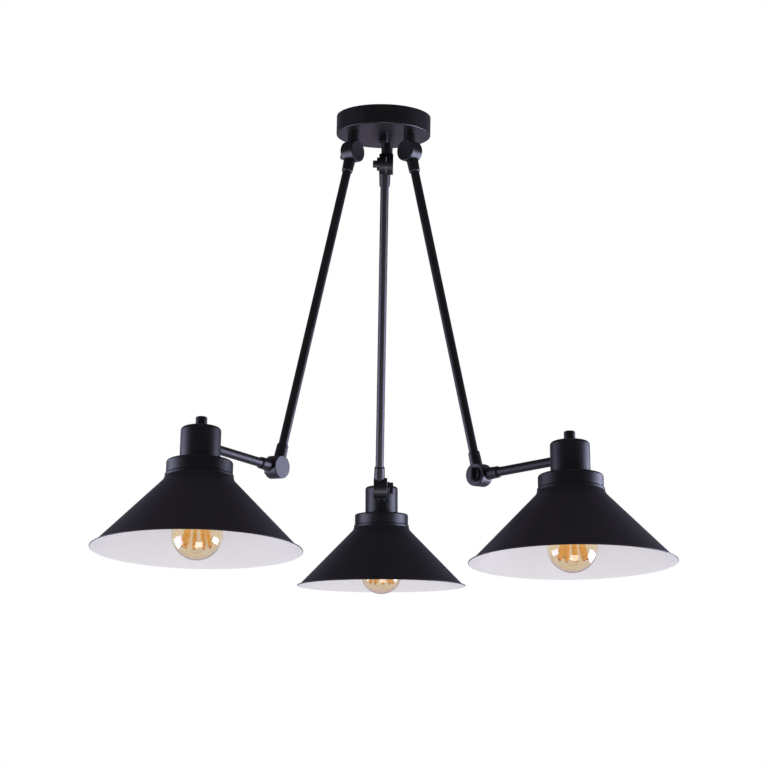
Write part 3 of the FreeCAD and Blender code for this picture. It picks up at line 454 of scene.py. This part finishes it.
# Bulb: a blown drop with a tied-in neck, a screw cap and a cage of filament strips on a glass stem.
# Millimetres of radius and of depth below the head's joint.
bulb = {
    "bottom": 130.2, "ball": 28.5, "touch": 32.0, "pull": (30.0, 22.0), "wall": 0.8,
    "neck": 12.3, "neckTop": 9.4, "neckEnd": 22.0,
}
bulbCap = {
    "top": -3.0, "end": 18.2, "radius": 12.6, "threadPitch": 3.6, "threadDepth": 0.75,
    "threadFade": 1.0, "plainEnd": 2.4, "contact": (4.6, -8.2), "contactFoot": (4.6, -7.4, 0.3),
    "shoulder": (7.5, -4.2, 1.0), "crown": (11.2, -3.4), "floorEdge": ((12.4, 18.0), (12.35, 17.0)),
    "floor": 16.9,
}
bulbStem = {"flare": (11.0, 17.1, 0.5), "waist": (7.0, 24.0, 6.0), "shaft": (3.4, 34.0, 6.0),
            "end": 75.0, "shaftEnd": (3.1, 4.0, 2.0), "button": 4.2, "buttonRounding": 1.5}


def bulbLine(values, inward):
    # from the bottom pole round the ball to the touching angle, then a cubic curve to the neck
    centre = values["bottom"] - values["ball"]
    radius = values["ball"] - inward
    angle = np.linspace(-math.pi / 2, math.radians(values["touch"]), 48)
    ball = np.stack([radius * np.cos(angle), centre - radius * np.sin(angle)], -1)
    ball[0, 0] = 0
    tangent = np.array([-math.sin(angle[-1]), -math.cos(angle[-1])])
    t = np.linspace(0, 1, 40)[1:, None]
    start, end = ball[-1], np.array([values["neck"] - inward, values["neckEnd"]])
    lower, upper = values["pull"]
    first, second = start + tangent * lower, end + np.array([0, upper])
    s = 1 - t
    curve = s ** 3 * start + 3 * s ** 2 * t * first + 3 * s * t ** 2 * second + t ** 3 * end
    top = np.array([[values["neck"] - inward, values["neckTop"]]])
    return np.vstack([ball, curve, top])


def capLine(values):
    # from the contact over the insulated shoulder and down the threaded shell, then closed below
    shell = np.stack([np.full(90, values["radius"]),
                      np.linspace(values["top"], values["end"], 90)], -1)
    contactTop = [[0, values["contact"][1]]]
    crown = roundedProfile([values[key] for key in ("contact", "contactFoot", "shoulder", "crown")])
    outerFloor, innerFloor = values["floorEdge"]
    floor = [outerFloor, innerFloor, (innerFloor[0], values["floor"]), (0, values["floor"])]
    return np.vstack([contactTop, crown, shell, floor])


def makeBulb(arm):
    place, body = headPlaces[arm], f"{arm}_head"
    wall = np.vstack([bulbLine(bulb, 0), bulbLine(bulb, bulb["wall"])[::-1]])
    glass = turnedPiece(f"{arm}_bulb_envelope", wall, place, body, "amberBlownGlass",
                        closed=False, slices=128)
    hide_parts(f"{arm}_bulb_glass")
    line = capLine(bulbCap)
    fade = bulbCap["threadFade"] * millimetre
    threadStart = bulbCap["top"] * millimetre
    threadEnd = (bulbCap["end"] - bulbCap["plainEnd"]) * millimetre
    pitch = bulbCap["threadPitch"] * millimetre

    def thread(angle, depth):
        # a wave in the radius that runs round once for each pitch of depth, faded at both ends
        inside = np.clip((depth - threadStart) / fade, 0, 1) * np.clip((threadEnd - depth) / fade, 0, 1)
        onShell = (np.abs(line[:, 0] - bulbCap["radius"]) < 1e-6)[None]
        wave = np.cos(2 * math.pi * depth / pitch - angle)
        return 0.5 * bulbCap["threadDepth"] * wave * inside * onShell

    cap = turnedPiece(f"{arm}_bulb_cap", line, place, body, "nickelPlatedCap",
                      closed=False, slices=96, wobble=thread)
    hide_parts(f"{arm}_bulb_base")
    end = bulbStem["end"]
    shaftRadius, above, rounding = bulbStem["shaftEnd"]
    stemLine = roundedProfile([
        (0, bulbStem["flare"][1]), bulbStem["flare"], bulbStem["waist"], bulbStem["shaft"],
        (shaftRadius, end - above, rounding), (bulbStem["button"], end, bulbStem["buttonRounding"]),
        (0, end + 1)])
    turnedPiece(f"{arm}_bulb_stem", stemLine, place, body, "clearPressedGlass",
                closed=False, slices=48)


# Filament cage: upright strips round the stem, spreading downwards, with a brass sleeve at both ends.
filaments = {
    "count": 9, "firstTurn": 0.3, "cageRadius": 7.0, "cageTop": 77.0, "lean": 13.0,
    "length": 39.0, "radius": 2.2, "rounding": 0.6,
    "sleeveRadius": 1.0, "sleeveLength": 1.6, "sleeveRounding": 0.2, "sleeveOverlaps": (0.2, 0.4),
}


def rodLine(radius, length, rounding):
    return roundedProfile([(0, 0), (radius, 0, rounding), (radius, length, rounding), (0, length)], 4)


def makeFilaments(arm):
    body = f"{arm}_head"
    length = filaments["length"]
    stripLine = rodLine(filaments["radius"], length, filaments["rounding"])
    sleeveLine = rodLine(filaments["sleeveRadius"], filaments["sleeveLength"],
                         filaments["sleeveRounding"])
    upperLap, lowerLap = filaments["sleeveOverlaps"]
    sleeveDepths = (upperLap - filaments["sleeveLength"], length - lowerLap)
    hung = Matrix.Translation((filaments["cageRadius"] * millimetre, 0,
                               -filaments["cageTop"] * millimetre))
    lean = Matrix.Rotation(math.radians(-filaments["lean"]), 4, "Y")
    for number in range(filaments["count"]):
        share = (number + filaments["firstTurn"]) / filaments["count"]
        base = headPlaces[arm] @ Matrix.Rotation(2 * math.pi * share, 4, "Z") @ hung @ lean
        turnedPiece(f"{arm}_filament_{number + 1}", stripLine, base, body, "phosphorFilament",
                    closed=False, slices=12)
        for end, depth in enumerate(sleeveDepths):
            shift = Matrix.Translation((0, 0, -depth * millimetre))
            turnedPiece(f"{arm}_filament_end_{number + 1}_{end + 1}", sleeveLine, base @ shift,
                        body, "turnedBrass", closed=False, slices=12)


for arm in arms:
    makeBulb(arm)
    makeFilaments(arm)
print("bulbs made")

# Studio: a white surround, a far pale floor, and soft boxes at the left, the right and low in front.
studio = {
    "ambient": 0.95, "glossyFront": 0.03, "glossyBack": 0.3, "glossyTop": 0.2,
    "glossyTint": "#d8cdee", "backRange": (0.1, 0.8), "topRange": (0.3, 0.95),
    "floorLevel": -3.4, "floorSize": 40.0, "floorColour": "#f2f1f4", "floorPale": "#f5f4f6",
    "floorGrain": 1 / 3, "floorRoughness": 0.9, "floorInGloss": "#b4abc6",
}
softBoxes = {
    "leftBox": {"turn": -88, "rise": -0.40, "distance": 1.25, "size": (1.1, 1.0), "glow": 7.2,
                "colour": "#d8d9ff"},
    "rightBox": {"turn": 97, "rise": -0.40, "distance": 1.25, "size": (1.15, 1.0), "glow": 13,
                 "colour": "#d6d9ff"},
    "lowBox": {"turn": 11, "rise": -2.3, "distance": 1.9, "size": (1.6, 1.2), "glow": 6,
               "colour": "#fffaf2"},
}


def makeWorld(values):
    world = bpy.data.worlds.new("whiteSurround")
    bpy.context.scene.world = world
    world.use_nodes = True
    tree = world.node_tree
    tree.nodes.clear()
    ray = addNode(tree, "ShaderNodeLightPath")
    # the camera and rays through glass see plain white; mirrored rays see dark in front and below,
    # and grey behind and above; the rest is the even fill light
    seen = addNode(tree, "ShaderNodeMath", {"operation": "MAXIMUM"},
                   {0: (ray, "Is Camera Ray"), 1: (ray, "Is Transmission Ray")})
    place = addNode(tree, "ShaderNodeTexCoord")
    apart = addNode(tree, "ShaderNodeSeparateXYZ", {}, {"Vector": (place, "Generated")})

    def addGrade(axis, limits, brightest):
        return addNode(tree, "ShaderNodeMapRange",
                       {"From Min": limits[0], "From Max": limits[1],
                        "To Min": values["glossyFront"], "To Max": brightest},
                       {"Value": (apart, axis)})

    behind = addGrade("Y", values["backRange"], values["glossyBack"])
    above = addGrade("Z", values["topRange"], values["glossyTop"])
    mirrored = addNode(tree, "ShaderNodeMath", {"operation": "MAXIMUM"},
                       {0: (behind, "Result"), 1: (above, "Result")})
    glossy = addNode(tree, "ShaderNodeMix", {"data_type": "FLOAT", "A": values["ambient"]},
                     {"Factor": (ray, "Is Glossy Ray"), "B": (mirrored, "Value")})
    strength = addNode(tree, "ShaderNodeMix", {"data_type": "FLOAT", "B": 1.0},
                       {"Factor": (seen, "Value"), "A": (glossy, "Result")})
    tint = addNode(tree, "ShaderNodeMix",
                   {"data_type": "RGBA", 6: "#ffffff", 7: values["glossyTint"]},
                   {"Factor": (ray, "Is Glossy Ray")})
    background = addNode(tree, "ShaderNodeBackground", {},
                         {"Color": (tint, 2), "Strength": (strength, "Result")})
    addNode(tree, "ShaderNodeOutputWorld", {}, {"Surface": (background, "Background")})


def makeSoftBox(name, values):
    lamp = bpy.data.lights.new(name, "AREA")
    lamp.shape = "RECTANGLE"
    lamp.size, lamp.size_y = values["size"]
    # a flat lamp's power is pi times its area times its brightness
    lamp.energy = math.pi * values["size"][0] * values["size"][1] * values["glow"]
    lamp.color = toLinear(values["colour"])[:3]
    holder = bpy.data.objects.new(name, lamp)
    middle = (cadLow + cadHigh) / 2
    toCamera = math.radians(camera["heading"] + 180)
    side = toCamera + math.radians(values["turn"])
    away = Vector((math.cos(side), math.sin(side), 0)) * values["distance"]
    away.z = values["rise"]
    turn = away.to_track_quat("Z", "Y").to_matrix().to_4x4()
    holder.matrix_world = Matrix.Translation(middle + away) @ turn
    holder.visible_camera = holder.visible_diffuse = holder.visible_transmission = False
    bpy.context.scene.collection.objects.link(holder)


def makeFloor(values):
    half = values["floorSize"] / 2
    corners = np.array([(-half, -half), (half, -half), (half, half), (-half, half)])
    mesh = bpy.data.meshes.new("floor")
    points = np.column_stack([corners, np.full(4, values["floorLevel"])])
    mesh.from_pydata(points, [], [(0, 1, 2, 3)])
    material, tree = newMaterial("paleStudioFloor")
    place = addNode(tree, "ShaderNodeTexCoord")
    grain = addNoise(tree, (place, "Object"), values["floorGrain"], 3.0)
    tone = addRamp(tree, grain, "Fac", [(0.3, values["floorColour"]), (0.7, values["floorPale"])])
    # the canopy's underside mirrors the floor as violet grey
    ray = addNode(tree, "ShaderNodeLightPath")
    mixed = addNode(tree, "ShaderNodeMix", {"data_type": "RGBA", 7: values["floorInGloss"]},
                    {"Factor": (ray, "Is Glossy Ray"), 6: (tone, "Color")})
    shader = addNode(tree, "ShaderNodeBsdfPrincipled", {"Roughness": values["floorRoughness"]},
                     {"Base Color": (mixed, 2)})
    addNode(tree, "ShaderNodeOutputMaterial", {}, {"Surface": (shader, "BSDF")})
    mesh.materials.append(material)
    floor = bpy.data.objects.new("floor", mesh)
    bpy.context.scene.collection.objects.link(floor)


makeWorld(studio)
for boxName, boxValues in softBoxes.items():
    makeSoftBox(boxName, boxValues)
makeFloor(studio)
bpy.context.scene.view_settings.view_transform = "Standard"
print("studio lit")
